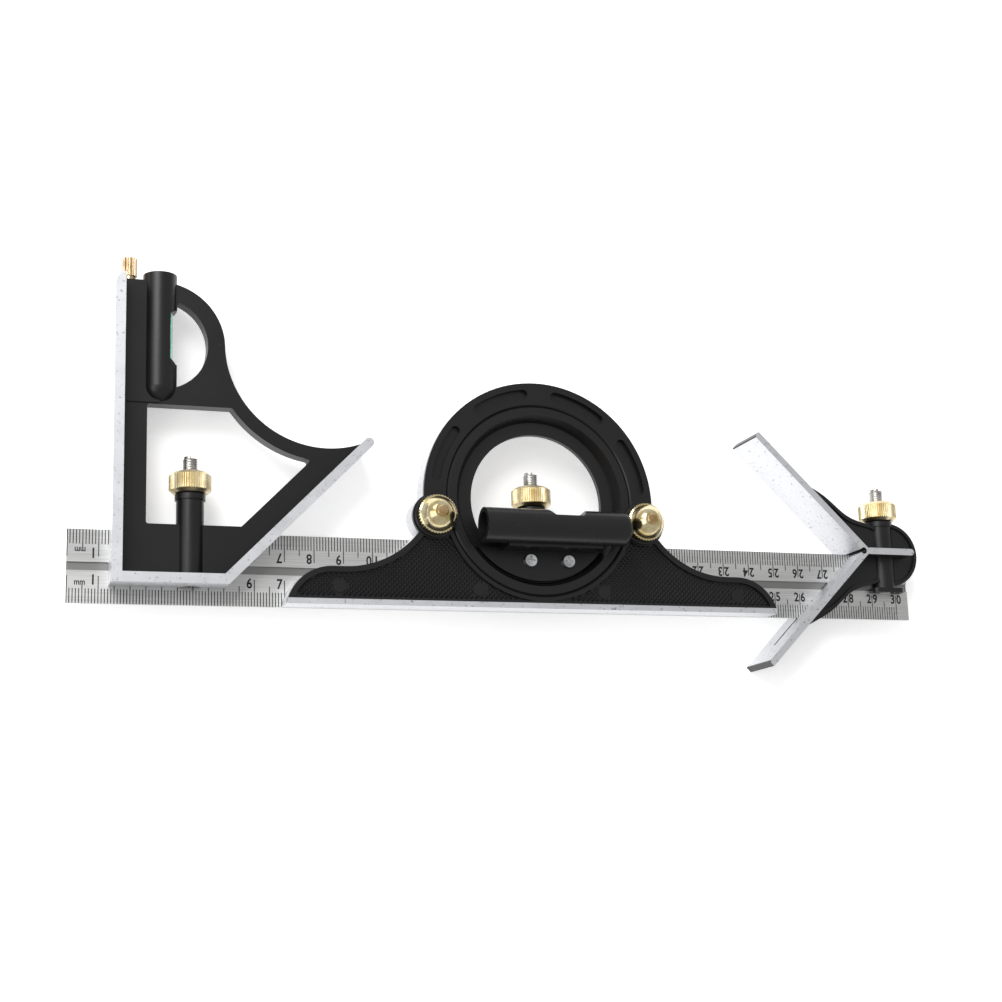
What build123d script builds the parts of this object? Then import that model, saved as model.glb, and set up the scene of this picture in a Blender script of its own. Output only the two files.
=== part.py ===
from build123d import *

import os
from math import cos, radians, sin, sqrt

# Combination square set: a grooved steel rule carrying a square head, a
# protractor head and a centre head.  Millimetres.  X runs along the rule from
# its zero end, Y across its width, Z up out of the face that carries the groove.

# ---- rule -------------------------------------------------------------------
RULE_LENGTH = 305.0
RULE_WIDTH = 24.0
RULE_THICKNESS = 1.2
GROOVE_WIDTH = 2.7
GROOVE_DEPTH = 0.5

# ---- clearances -------------------------------------------------------------
SLIP = 0.05              # between sliding and turning fits, on each side
GAP = 0.3                # between parts that pass without touching

# ---- square head ------------------------------------------------------------
SQUARE_X = 13.1          # plane of its upright face
SQUARE_FOOT = 5.75       # how far the rule stands out below the foot
SQUARE_HEIGHT = 102.7    # foot to top
SQUARE_FOOT_LENGTH = 37.2
SQUARE_MITRE_LENGTH = 68.0
SQUARE_THICKNESS = 19.6
RIM_WALL = 3.3
WEB_THICKNESS = 5.0
ARM_WIDTH = 4.6
MITRE_WEB = 7.5
UPPER_WEB_THICKNESS = 6.0
VIAL_TUBE_RADIUS = 5.6
VIAL_BORE_RADIUS = 4.3

# ---- lock: bolt, spring and knurled nut, the same in all three heads ----------
BOLT_RADIUS = 2.5
BOLT_REACH = 25.2        # bolt end above the rule's upper edge
BOSS_REACH = 12.8        # boss top above the rule's upper edge
BOSS_RADIUS = 4.5
NUT_RADIUS = 6.9
NUT_HEIGHT = 7.0
SQUARE_LOCK_X = 39.0

# ---- protractor head --------------------------------------------------------
TURRET_X = 157.6
TURRET_RADIUS = 33.4
TURRET_DIP = 7.6         # how far the turret reaches below the middle of the rule
RING_WIDTH = 8.3         # frame's ring around the turret
PROTRACTOR_FACE = 9.2    # height of its face above the middle of the rule
PROTRACTOR_BACK = 0.9
BASE_HALF_LENGTH = 89.0
WING_HEIGHT = 12.7
SEAM_CHAMFER = 0.5       # on both edges where turret and frame meet
CLAMP_STANDOFF = 5.1     # clamp nut's centre outside the turret's edge
CLAMP_DROP = 7.1         # and below the turret's centre
DOME_RADIUS = 6.7
HOLDER_RADIUS = 5.9      # outside of the tube that holds the vial

# ---- centre head ------------------------------------------------------------
VEE_X = 282.7            # inner corner of the vee, on the rule's upper edge
LEG_LENGTH = 58.0
LEG_WALL = 2.4
CENTRE_THICKNESS = 18.4
DISC_RADIUS = 11.8
CENTRE_LOCK_X = 295.5
BORDER_HEIGHT = 0.8

# ---- values that follow from the sizes above ----------------------------------
HALF_RULE = RULE_WIDTH / 2
RULE_FACE = RULE_THICKNESS / 2
SLOT_HALF = RULE_FACE + SLIP
SEAT_Y = HALF_RULE + SLIP
BOLT_TOP = HALF_RULE + BOLT_REACH
BOSS_TOP = HALF_RULE + BOSS_REACH
CHAMBER_RADIUS = BOSS_RADIUS - 0.95
CHAMBER_TOP = BOSS_TOP - 5.3
COLLAR_RADIUS = CHAMBER_RADIUS - 2 * SLIP
COLLAR_FOOT = HALF_RULE + 0.65
COLLAR_HEIGHT = 1.0
TURRET_Y = TURRET_RADIUS - TURRET_DIP
RING_RADIUS = TURRET_RADIUS + RING_WIDTH
CLAMP_REACH = sqrt((TURRET_RADIUS + CLAMP_STANDOFF) ** 2 - CLAMP_DROP ** 2)

os.makedirs("parts", exist_ok=True)


def upright(x, y, z=0.0):
    """Plane facing up the heads (+Y); its own y axis points to -Z."""
    return Plane(origin=(x, y, z), x_dir=(1, 0, 0), z_dir=(0, 1, 0))


def save(shape, name):
    """Label one piece and write it to its own file."""
    shape.label = name
    export_step(shape, f"parts/{name}.step")


def rule_passage(start_x, end_x, low_y):
    """Space the rule slides through, up to its seat."""
    with BuildPart() as passage:
        with Locations(((start_x + end_x) / 2, (low_y + SEAT_Y) / 2, 0)):
            Box(end_x - start_x, SEAT_Y - low_y, 2 * SLOT_HALF)
    return passage.part


def lock_bore(x, low_y):
    """Stepped hole for lock bolt and spring, from the foot to the boss top."""
    with BuildPart() as bore:
        with BuildSketch(upright(x, low_y)):
            Circle(CHAMBER_RADIUS)
        extrude(amount=CHAMBER_TOP - low_y)
        with BuildSketch(upright(x, CHAMBER_TOP - 0.1)):
            Circle(BOLT_RADIUS + SLIP)
        extrude(amount=BOSS_TOP - CHAMBER_TOP + 1)
    return bore.part


def lock_boss(x, low_y):
    """Round boss with a wider collar at its top."""
    with BuildPart() as boss:
        with BuildSketch(upright(x, low_y)):
            Circle(BOSS_RADIUS)
        extrude(amount=BOSS_TOP - low_y)
        with BuildSketch(upright(x, BOSS_TOP - 2.2)):
            Circle(BOSS_RADIUS + 0.5)
        extrude(amount=2.2)
        chamfer(boss.faces().sort_by(Axis.Y)[-1].edges(), 0.4)
    return boss.part


def save_lock_bolt(x, name):
    """Round stud, spring collar, and a flat shank with a lip in the groove."""
    lip_height = GROOVE_WIDTH - 1.1
    lip_top = GROOVE_WIDTH / 2 - 0.2
    shank_foot = lip_top - lip_height - 2.0
    with BuildPart() as bolt:
        with BuildSketch(upright(x, COLLAR_FOOT)):
            Circle(BOLT_RADIUS)
        extrude(amount=BOLT_TOP - COLLAR_FOOT)
        chamfer(bolt.faces().sort_by(Axis.Y)[-1].edges(), 0.5)
        with Locations((x + BOLT_RADIUS, BOLT_TOP, 0)):
            Box(2 * BOLT_RADIUS, 1.4, 3 * BOLT_RADIUS, mode=Mode.SUBTRACT)
        with BuildSketch(upright(x, COLLAR_FOOT)):
            Circle(COLLAR_RADIUS)
        extrude(amount=COLLAR_HEIGHT)
        with BuildSketch(upright(x, shank_foot)):
            Circle(BOLT_RADIUS)
            with Locations((0, BOLT_RADIUS - SLOT_HALF)):
                Rectangle(3 * BOLT_RADIUS, 2 * BOLT_RADIUS, mode=Mode.SUBTRACT)
        extrude(amount=COLLAR_FOOT - shank_foot)
        lip_depth = GROOVE_DEPTH + SLIP - 0.1
        with Locations((x, lip_top - lip_height / 2, SLOT_HALF - lip_depth / 2)):
            Box(BOLT_RADIUS * 1.6, lip_height, lip_depth)
    save(bolt.part, name)


def save_lock_spring(x, name):
    """Coil between the bolt's collar and the top of the chamber."""
    wire = 0.3
    foot = COLLAR_FOOT + COLLAR_HEIGHT + 0.1 + wire
    height = CHAMBER_TOP - 0.1 - wire - foot
    coil = (CHAMBER_RADIUS + BOLT_RADIUS) / 2
    with BuildPart() as spring:
        with BuildLine():
            path = Helix(pitch=height / 4.5, height=height, radius=coil, center=(x, foot, 0),
                         direction=(0, 1, 0))
        with BuildSketch(Plane(origin=path @ 0, z_dir=path % 0)):
            Circle(wire)
        sweep(path=path)
    save(spring.part, name)


def save_lock_nut(x, name):
    """Knurled round nut standing on the boss."""
    foot = BOSS_TOP + SLIP
    teeth = 60
    with BuildPart() as nut:
        with BuildSketch(upright(x, foot)):
            Circle(NUT_RADIUS)
            with PolarLocations(NUT_RADIUS + 0.1, teeth):
                Rectangle(0.5, 0.5, rotation=45, mode=Mode.SUBTRACT)
            Circle(BOLT_RADIUS + SLIP, mode=Mode.SUBTRACT)
        extrude(amount=NUT_HEIGHT)
        with BuildSketch():
            with BuildLine():
                Polyline(
                    (x, foot), (x + NUT_RADIUS - 1.3, foot), (x + NUT_RADIUS, foot + 1.1),
                    (x + NUT_RADIUS, foot + NUT_HEIGHT - 1.1),
                    (x + NUT_RADIUS - 1.3, foot + NUT_HEIGHT), (x, foot + NUT_HEIGHT), close=True)
            make_face()
        revolve(axis=Axis((x, 0, 0), (0, 1, 0)), mode=Mode.INTERSECT)
    save(nut.part, name)


def save_vial(plane, length, cap_length, name):
    """Sealed glass tube, its liquid with a bubble, and the plug behind it."""
    glass_radius = VIAL_BORE_RADIUS - SLIP
    liquid_radius = glass_radius - 0.6
    with BuildPart() as glass:
        with BuildSketch(plane):
            Circle(glass_radius)
        extrude(amount=length)
        with BuildSketch(plane.offset(1.0)):
            Circle(liquid_radius)
        extrude(amount=length - 2.0, mode=Mode.SUBTRACT)
    save(glass.part, name + "_glass")
    with BuildPart() as liquid:
        with BuildSketch(plane.offset(1.0 + SLIP)):
            Circle(liquid_radius - SLIP)
        extrude(amount=length - 2.0 - 2 * SLIP)
        with Locations(plane.offset(length / 2)):
            Sphere(liquid_radius * 0.62, mode=Mode.SUBTRACT)
    save(liquid.part, name + "_liquid")
    with BuildPart() as plug:
        with BuildSketch(plane.offset(length + SLIP)):
            Circle(glass_radius)
        extrude(amount=cap_length)
        save(plug.part, name + "_plug")


# ---- rule ---------------------------------------------------------------------
with BuildPart() as rule:
    with Locations((RULE_LENGTH / 2, 0, 0)):
        Box(RULE_LENGTH, RULE_WIDTH, RULE_THICKNESS)
    with Locations((RULE_LENGTH / 2, 0, RULE_FACE)):
        Box(RULE_LENGTH + 1, GROOVE_WIDTH, 2 * GROOVE_DEPTH, mode=Mode.SUBTRACT)
save(rule.part, "rule")

# ---- square head ----------------------------------------------------------------
foot_y = -HALF_RULE + SQUARE_FOOT
top_y = foot_y + SQUARE_HEIGHT
heel_x = SQUARE_X + SQUARE_FOOT_LENGTH
tube_x = SQUARE_X + 15.5
tube_foot = top_y - 41.9
tube_top = top_y + 2.6
lobe_radius = 21.4
lobe_y = top_y - lobe_radius
# the throat arc leaves the lobe at this angle and ends on the inside of the mitre rim
touch_angle = radians(1.3)
touch = (tube_x + lobe_radius * cos(touch_angle), lobe_y + lobe_radius * sin(touch_angle))
tip = (heel_x + (SQUARE_MITRE_LENGTH - RIM_WALL) / sqrt(2),
       foot_y + (SQUARE_MITRE_LENGTH + RIM_WALL) / sqrt(2))
reach = (tip[0] - touch[0], tip[1] - touch[1])
throat_radius = (reach[0] ** 2 + reach[1] ** 2) / (
    2 * (reach[0] * cos(touch_angle) + reach[1] * sin(touch_angle)))
throat_x = touch[0] + throat_radius * cos(touch_angle)
throat_y = touch[1] + throat_radius * sin(touch_angle)
mitre_drop = RIM_WALL * sqrt(2)
window_left = SQUARE_X + 11.4
window_foot = SEAT_Y + 2.1
window_top = tube_foot - 0.4
# how far the window's slanting side lies above the line y = x
slant = foot_y - heel_x + mitre_drop + MITRE_WEB * sqrt(2)

with BuildPart() as square_head:
    # web: one flat plate bounded by the faces, the throat and the lobe
    with BuildSketch(Plane.XY.offset(-WEB_THICKNESS / 2)):
        with BuildLine():
            throat_mid = (
                throat_x + throat_radius * cos(radians(232)),
                throat_y + throat_radius * sin(radians(232)))
            lobe_mid = (
                tube_x + lobe_radius * cos(radians(45)),
                lobe_y + lobe_radius * sin(radians(45)))
            mitre_end = (tip[0] + RIM_WALL / sqrt(2), tip[1] - RIM_WALL / sqrt(2))
            Line((SQUARE_X, foot_y), (heel_x, foot_y))
            Line((heel_x, foot_y), mitre_end)
            Line(mitre_end, tip)
            ThreePointArc(tip, throat_mid, touch)
            ThreePointArc(touch, lobe_mid, (tube_x, top_y))
            Line((tube_x, top_y), (SQUARE_X, top_y))
            Line((SQUARE_X, top_y), (SQUARE_X, foot_y))
        make_face()
    extrude(amount=WEB_THICKNESS)
    # the upper left part of the web, drilled for the scriber, is a little thicker
    with BuildSketch(Plane.XY.offset(-UPPER_WEB_THICKNESS / 2)):
        with Locations((SQUARE_X, window_top + 0.4)):
            Rectangle(tube_x - SQUARE_X, top_y - window_top - 0.4, align=(Align.MIN, Align.MIN))
    extrude(amount=UPPER_WEB_THICKNESS)
    # main window, kept one arm's width away from the throat
    with BuildSketch(Plane.XY.offset(-SQUARE_THICKNESS)) as window:
        with BuildLine():
            Polyline(
                (window_left, window_foot), (window_foot - slant, window_foot),
                (window_top - slant, window_top), (window_left, window_top), close=True)
        make_face()
        with Locations((throat_x, throat_y)):
            Circle(throat_radius + ARM_WIDTH, mode=Mode.SUBTRACT)
        fillet(window.vertices(), 0.8)
    extrude(amount=2 * SQUARE_THICKNESS, mode=Mode.SUBTRACT)
    # finger hole
    with BuildSketch(Plane.XY.offset(-SQUARE_THICKNESS)):
        with Locations((tube_x, lobe_y)):
            Circle(lobe_radius - 5.7)
        with Locations((tube_x + VIAL_TUBE_RADIUS - 0.2, lobe_y)):
            Rectangle(3 * lobe_radius, 3 * lobe_radius, align=(Align.MAX, Align.CENTER),
                      mode=Mode.SUBTRACT)
    extrude(amount=2 * SQUARE_THICKNESS, mode=Mode.SUBTRACT)
    # machined faces: upright, foot and mitre
    with BuildSketch(Plane.XY.offset(-SQUARE_THICKNESS / 2)):
        with Locations((SQUARE_X, foot_y)):
            Rectangle(RIM_WALL, SQUARE_HEIGHT, align=(Align.MIN, Align.MIN))
            Rectangle(SQUARE_FOOT_LENGTH, RIM_WALL, align=(Align.MIN, Align.MIN))
        with Locations(Location((heel_x, foot_y, 0), (0, 0, 45))):
            Rectangle(SQUARE_MITRE_LENGTH, RIM_WALL, align=(Align.MIN, Align.MIN))
            with Locations((SQUARE_MITRE_LENGTH, RIM_WALL / 2)):
                Circle(RIM_WALL / 2)
    extrude(amount=SQUARE_THICKNESS)
    outer_corner = square_head.edges().filter_by(Axis.Z).group_by(Axis.Y)[-1].sort_by(Axis.X)[0]
    chamfer(outer_corner, length=1.6, length2=3.4)
    # boss of the lock
    add(lock_boss(SQUARE_LOCK_X, foot_y + 0.5))
    # vial tube with a round foot
    with BuildSketch(upright(tube_x, tube_foot + VIAL_TUBE_RADIUS)):
        Circle(VIAL_TUBE_RADIUS)
    extrude(amount=tube_top - tube_foot - VIAL_TUBE_RADIUS)
    with Locations((tube_x, tube_foot + VIAL_TUBE_RADIUS, 0)):
        Sphere(VIAL_TUBE_RADIUS)
    with BuildSketch(upright(tube_x, tube_foot + 6.5)):
        Circle(VIAL_BORE_RADIUS)
    extrude(amount=tube_top - tube_foot, mode=Mode.SUBTRACT)
    # sight opening in the side of the tube
    with BuildSketch(Plane.XY.offset(-SQUARE_THICKNESS)):
        with Locations((tube_x + VIAL_TUBE_RADIUS, lobe_y + 2.2)):
            Trapezoid(19.4, 2.8, 55, rotation=90, align=(Align.CENTER, Align.MIN))
    extrude(amount=2 * SQUARE_THICKNESS, mode=Mode.SUBTRACT)
    # rule passage, lock hole and scriber hole
    add(rule_passage(SQUARE_X - 1, SQUARE_X + 90, foot_y - 1), mode=Mode.SUBTRACT)
    add(lock_bore(SQUARE_LOCK_X, foot_y - 1), mode=Mode.SUBTRACT)
    scriber_x = SQUARE_X + 5.4
    scriber_radius = 1.2
    with BuildSketch(upright(scriber_x, top_y - 58)):
        Circle(scriber_radius + SLIP)
    extrude(amount=60, mode=Mode.SUBTRACT)
save(square_head.part, "square_head")

save_vial(upright(tube_x, tube_foot + 6.6), 28.0, 9.0, "square_vial")

# ---- scriber --------------------------------------------------------------------
with BuildPart() as scriber_pin:
    with BuildSketch(upright(scriber_x, top_y - 51)):
        Circle(scriber_radius)
    extrude(amount=54)
    with BuildSketch(upright(scriber_x, top_y - 51)):
        Circle(scriber_radius)
    extrude(amount=-6, taper=11)
save(scriber_pin.part, "scriber_pin")

with BuildPart() as scriber_knob:
    with BuildSketch(upright(scriber_x, top_y + 1.6)):
        Circle(2.45)
        with PolarLocations(2.5, 20):
            Rectangle(0.4, 0.4, rotation=45, mode=Mode.SUBTRACT)
    extrude(amount=6.2)
    with BuildSketch(upright(scriber_x, top_y + 0.3)):
        Circle(1.9)
    extrude(amount=1.4)
    with BuildSketch(upright(scriber_x, top_y)):
        Circle(scriber_radius + SLIP)
    extrude(amount=3.1 + SLIP, mode=Mode.SUBTRACT)
save(scriber_knob.part, "scriber_knob")

# ---- protractor frame -------------------------------------------------------------
base_y = -HALF_RULE
wing_top = base_y + WING_HEIGHT
wing_radius = 15.7
wing_end = BASE_HALF_LENGTH - wing_radius
sweep_radius = 32.3
sweep_start = wing_end - 4.2
clamp_y = TURRET_Y - CLAMP_DROP
lug_radius = 7.9
field_face = PROTRACTOR_FACE - 1.0


def wing_points(side):
    """Corner points of one wing, measured from the turret centre line."""
    sweep_end = sweep_start - sweep_radius * sin(radians(52))
    sweep_end_y = wing_top + sweep_radius * (1 - cos(radians(52)))
    tip_x = wing_end + sqrt(wing_radius ** 2 - (WING_HEIGHT - wing_radius) ** 2)
    return {
        "tip": (TURRET_X + side * tip_x, base_y),
        "round": (TURRET_X + side * (wing_end + wing_radius * sin(radians(45))),
                  wing_top - wing_radius * (1 - cos(radians(45)))),
        "top": (TURRET_X + side * wing_end, wing_top),
        "sweep": (TURRET_X + side * sweep_start, wing_top),
        "curve": (TURRET_X + side * (sweep_start - sweep_radius * sin(radians(26))),
                  wing_top + sweep_radius * (1 - cos(radians(26)))),
        "end": (TURRET_X + side * sweep_end, sweep_end_y),
    }


def frame_outline():
    """Base, two curved wings and the ring as one flat outline."""
    left = wing_points(-1)
    right = wing_points(1)
    with BuildSketch() as outline:
        with BuildLine():
            Line(left["tip"], right["tip"])
            ThreePointArc(right["tip"], right["round"], right["top"])
            Line(right["top"], right["sweep"])
            ThreePointArc(right["sweep"], right["curve"], right["end"])
            Line(right["end"], left["end"])
            ThreePointArc(left["end"], left["curve"], left["sweep"])
            Line(left["sweep"], left["top"])
            ThreePointArc(left["top"], left["round"], left["tip"])
        make_face()
        with Locations((TURRET_X, TURRET_Y)):
            Circle(RING_RADIUS)
        with Locations((TURRET_X - CLAMP_REACH, clamp_y), (TURRET_X + CLAMP_REACH, clamp_y)):
            Circle(lug_radius)
        # nothing reaches below the base
        with Locations((TURRET_X, base_y)):
            Rectangle(4 * RING_RADIUS, 2 * RING_RADIUS, align=(Align.CENTER, Align.MAX),
                      mode=Mode.SUBTRACT)
    return outline.sketch


turret_seat = TURRET_RADIUS + SLIP
ledge_radius = TURRET_RADIUS - 1.9
ledge_top = PROTRACTOR_BACK + 2.1

with BuildPart() as protractor_frame:
    with BuildSketch(Plane.XY.offset(PROTRACTOR_BACK)):
        add(frame_outline())
    extrude(amount=PROTRACTOR_FACE - PROTRACTOR_BACK)
    # sunk field between the raised border, the base rail and the ring
    with BuildSketch(Plane.XY.offset(field_face)):
        add(frame_outline())
        offset(amount=-1.9, mode=Mode.REPLACE)
        with Locations((TURRET_X, base_y)):
            Rectangle(3 * BASE_HALF_LENGTH, 2 * 2.6, mode=Mode.SUBTRACT)
        with Locations((TURRET_X, TURRET_Y)):
            Circle(TURRET_RADIUS + 1.9, mode=Mode.SUBTRACT)
        with Locations((TURRET_X, clamp_y)):
            Rectangle(4 * RING_RADIUS, 3 * RING_RADIUS, align=(Align.CENTER, Align.MIN),
                      mode=Mode.SUBTRACT)
        with Locations((TURRET_X - CLAMP_REACH, clamp_y), (TURRET_X + CLAMP_REACH, clamp_y)):
            Circle(lug_radius, mode=Mode.SUBTRACT)
    extrude(amount=PROTRACTOR_FACE, mode=Mode.SUBTRACT)
    # four sunk arcs in the face of the ring
    with BuildSketch(Plane.XY.offset(PROTRACTOR_FACE - 1.6)):
        arc_radius = (RING_RADIUS + TURRET_RADIUS) / 2 + 0.2
        for start in (7.5, 52.5, 97.5, 142.5):
            middle_line = Edge.make_circle(arc_radius, start_angle=start, end_angle=start + 27)
            with Locations((TURRET_X, TURRET_Y)):
                SlotArc(middle_line, 3.4)
    extrude(amount=PROTRACTOR_FACE, mode=Mode.SUBTRACT)
    # seat of the turret with a ledge below it
    with BuildSketch(Plane.XY.offset(ledge_top)):
        with Locations((TURRET_X, TURRET_Y)):
            Circle(turret_seat)
    extrude(amount=PROTRACTOR_FACE, mode=Mode.SUBTRACT)
    with Locations((TURRET_X, TURRET_Y, PROTRACTOR_FACE - SEAM_CHAMFER / 2)):
        Cone(turret_seat, turret_seat + SEAM_CHAMFER, SEAM_CHAMFER, mode=Mode.SUBTRACT)
    with BuildSketch(Plane.XY):
        with Locations((TURRET_X, TURRET_Y)):
            Circle(ledge_radius)
    extrude(amount=PROTRACTOR_FACE, mode=Mode.SUBTRACT)
    # holes of the two clamp bolts, sunk from behind for their heads
    clamp_radius = 2.0
    clamp_head_radius = 3.8
    clamp_head_height = 2.0
    head_top = PROTRACTOR_BACK + 0.1 + clamp_head_height
    for side in (-1, 1):
        with BuildSketch(Plane.XY):
            with Locations((TURRET_X + side * CLAMP_REACH, clamp_y)):
                Circle(clamp_radius + SLIP)
        extrude(amount=2 * PROTRACTOR_FACE, mode=Mode.SUBTRACT)
        with BuildSketch(Plane.XY):
            with Locations((TURRET_X + side * CLAMP_REACH, clamp_y)):
                Circle(clamp_head_radius + SLIP)
        extrude(amount=head_top + SLIP, mode=Mode.SUBTRACT)
save(protractor_frame.part, "protractor_frame")

# ---- turret -----------------------------------------------------------------------
flange_face = PROTRACTOR_FACE - 3.7
flange_back = flange_face - 2.0
recess_radius = TURRET_RADIUS - 5.1
sight_radius = TURRET_RADIUS - 9.5
hub_radius = ledge_radius - SLIP
hub_back = -RULE_FACE - 2.0
floor_y = SEAT_Y + 1.0

with BuildPart() as turret:
    # ring that fills the frame's seat, coned on the inside
    with BuildSketch(Plane.XZ.offset(-TURRET_Y)):
        with BuildLine():
            Polyline(
                (TURRET_X + sight_radius, flange_back), (TURRET_X + sight_radius, flange_face),
                (TURRET_X + recess_radius, flange_face),
                (TURRET_X + recess_radius + 1.8, PROTRACTOR_FACE),
                (TURRET_X + TURRET_RADIUS - SLIP - SEAM_CHAMFER, PROTRACTOR_FACE),
                (TURRET_X + TURRET_RADIUS - SLIP, PROTRACTOR_FACE - SEAM_CHAMFER),
                (TURRET_X + TURRET_RADIUS - SLIP, ledge_top + SLIP),
                (TURRET_X + hub_radius, ledge_top + SLIP), (TURRET_X + hub_radius, hub_back),
                (TURRET_X + hub_radius - 4.4, hub_back), (TURRET_X + hub_radius - 4.4, flange_back),
                close=True)
        make_face()
    revolve(axis=Axis((TURRET_X, TURRET_Y, 0), (0, 0, 1)))
    # floor across the lower part of the opening
    with BuildSketch(Plane.XY.offset(SLOT_HALF)):
        with Locations((TURRET_X, TURRET_Y)):
            Circle(recess_radius)
        with Locations((TURRET_X, floor_y)):
            Rectangle(4 * RING_RADIUS, 4 * RING_RADIUS, align=(Align.CENTER, Align.MIN),
                      mode=Mode.SUBTRACT)
    extrude(amount=flange_face - SLOT_HALF)
    # boss of the lock, with a rib to the floor on each side
    add(lock_boss(TURRET_X, SEAT_Y))
    with Locations((TURRET_X, SEAT_Y + 0.5, (flange_face + hub_back) / 2)):
        Box(4 * BOSS_RADIUS, 1.0, flange_face - hub_back)
    with Locations((TURRET_X, SEAT_Y + 3.0, 0)):
        Box(3.4 * BOSS_RADIUS, 6.0, 2.4)
    add(rule_passage(TURRET_X - 50, TURRET_X + 50, -HALF_RULE - 0.6), mode=Mode.SUBTRACT)
    add(lock_bore(TURRET_X, -4.0), mode=Mode.SUBTRACT)
    # threaded holes for the two screws of the vial bracket
    bracket_x = TURRET_X + 2.9
    screw_y = TURRET_Y - TURRET_RADIUS + 12.2
    with Locations((bracket_x - 6.9, screw_y, flange_face), (bracket_x + 6.9, screw_y, flange_face)):
        Hole(radius=1.25 + SLIP, depth=4.0)
save(turret.part, "protractor_turret")

save_lock_bolt(TURRET_X, "protractor_lock_bolt")
save_lock_spring(TURRET_X, "protractor_lock_spring")
save_lock_nut(TURRET_X, "protractor_lock_nut")

# ---- vial bracket of the protractor -------------------------------------------------
bracket_thickness = 2.0
holder_y = TURRET_Y - TURRET_RADIUS + 22.6
holder_z = PROTRACTOR_FACE + 0.6 + HOLDER_RADIUS
holder_start = TURRET_X - TURRET_RADIUS + 10.3
holder_end = TURRET_X + TURRET_RADIUS - 3.9
holder_length = holder_end - holder_start
chord_y = holder_y - 5.9
lengthwise = Plane(origin=(holder_start, holder_y, holder_z), x_dir=(0, 1, 0), z_dir=(1, 0, 0))

with BuildPart() as vial_bracket:
    with BuildSketch(Plane.XY.offset(flange_face + SLIP)):
        with Locations((TURRET_X, TURRET_Y)):
            Circle(recess_radius - GAP)
        with Locations((TURRET_X, chord_y)):
            Rectangle(4 * RING_RADIUS, 4 * RING_RADIUS, align=(Align.CENTER, Align.MIN),
                      mode=Mode.SUBTRACT)
    extrude(amount=bracket_thickness)
    with BuildSketch(lengthwise):
        Circle(HOLDER_RADIUS)
    extrude(amount=holder_length)
    fillet(vial_bracket.faces().sort_by(Axis.X)[-1].edges(), 2.4)
    # wall from the plate up to the tube
    with Locations((bracket_x, chord_y + 0.6, (flange_face + SLIP + holder_z) / 2)):
        Box(2 * recess_radius - 22.6, 3.2, holder_z - flange_face - SLIP)
    with BuildSketch(lengthwise):
        Circle(VIAL_BORE_RADIUS)
    extrude(amount=holder_length - 3.0, mode=Mode.SUBTRACT)
    # sight opening along the top of the tube
    with BuildSketch():
        with Locations((TURRET_X + 6.4, holder_y + HOLDER_RADIUS)):
            Trapezoid(14.5, 2.6, 50, rotation=180, align=(Align.CENTER, Align.MIN))
    extrude(amount=3 * holder_z, mode=Mode.SUBTRACT)
    # screw holes, with a scoop above each for the driver
    for x in (bracket_x - 6.9, bracket_x + 6.9):
        with BuildSketch(Plane.XY.offset(flange_face - 1)):
            with Locations((x, screw_y)):
                Circle(1.25 + SLIP)
        extrude(amount=4 * bracket_thickness, mode=Mode.SUBTRACT)
        with BuildSketch(Plane.XY.offset(flange_face + SLIP + bracket_thickness)):
            with Locations((x, screw_y)):
                Circle(4.2)
        extrude(amount=8, mode=Mode.SUBTRACT)
save(vial_bracket.part, "vial_bracket")

save_vial(lengthwise.offset(holder_length - 3.1).rotated((0, 180, 0)), holder_length - 14.6, 6.0,
          "protractor_vial")

with BuildPart() as bracket_screws:
    screw_seat = flange_face + SLIP + bracket_thickness + SLIP
    for x in (bracket_x - 6.9, bracket_x + 6.9):
        with BuildSketch(Plane.XY.offset(screw_seat)):
            with Locations((x, screw_y)):
                Circle(2.4)
        extrude(amount=1.5, taper=12)
        with BuildSketch(Plane.XY.offset(screw_seat - 4.5)):
            with Locations((x, screw_y)):
                Circle(1.25)
        extrude(amount=4.6)
        with BuildSketch(Plane.XY.offset(screw_seat + 0.6)):
            with Locations((x, screw_y)):
                Rectangle(2.8, 0.6)
                Rectangle(0.6, 2.8)
        extrude(amount=2, mode=Mode.SUBTRACT)
save(bracket_screws.part, "bracket_screws")


# ---- turret clamps --------------------------------------------------------------------
washer_foot = PROTRACTOR_FACE + SLIP
washer_height = 1.2
dome_foot = washer_foot + washer_height + SLIP
dome_straight = 4.0
dome_rise = 3.6
clamp_end = dome_foot + dome_straight + dome_rise + 0.5


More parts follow.
